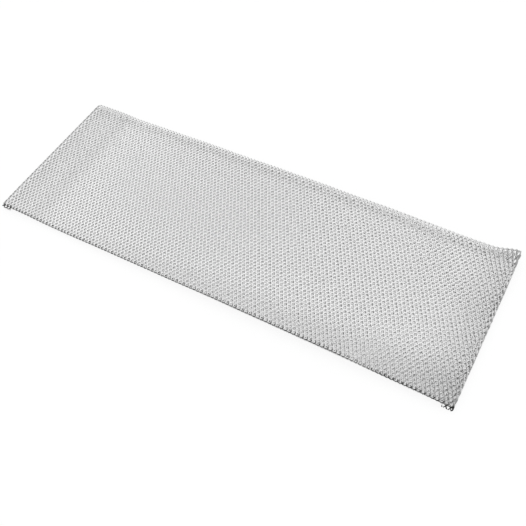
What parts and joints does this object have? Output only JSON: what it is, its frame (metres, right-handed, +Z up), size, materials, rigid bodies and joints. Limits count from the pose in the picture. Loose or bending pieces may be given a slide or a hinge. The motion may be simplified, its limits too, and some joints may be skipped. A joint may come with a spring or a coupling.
{
  "type": "cooker hood grease filter",
  "caption": "Frameless flat pad of expanded aluminium mesh: a sheet folded round a crossed inner layer, hemmed at the ends, which catches grease from air drawn into a cooker hood",
  "frame": {"origin": "centre of the pad's length and width, on the plane of the hems' undersides that the pad rests on", "axes": "+X along the pad's length, +Y across it from the folded near side to the hemmed far side, +Z up out of the upper face"},
  "size_m": [0.49, 0.168, 0.0062],
  "materials": {
    "mesh_sheet": "bright rolled and expanded aluminium foil mesh, unpainted",
    "mesh_core": "bright rolled and expanded aluminium foil mesh, unpainted"
  },
  "bodies": {
    "root": {"outer_mesh": "mesh_sheet", "inner_mesh": "mesh_core"}
  },
  "joints": []
}
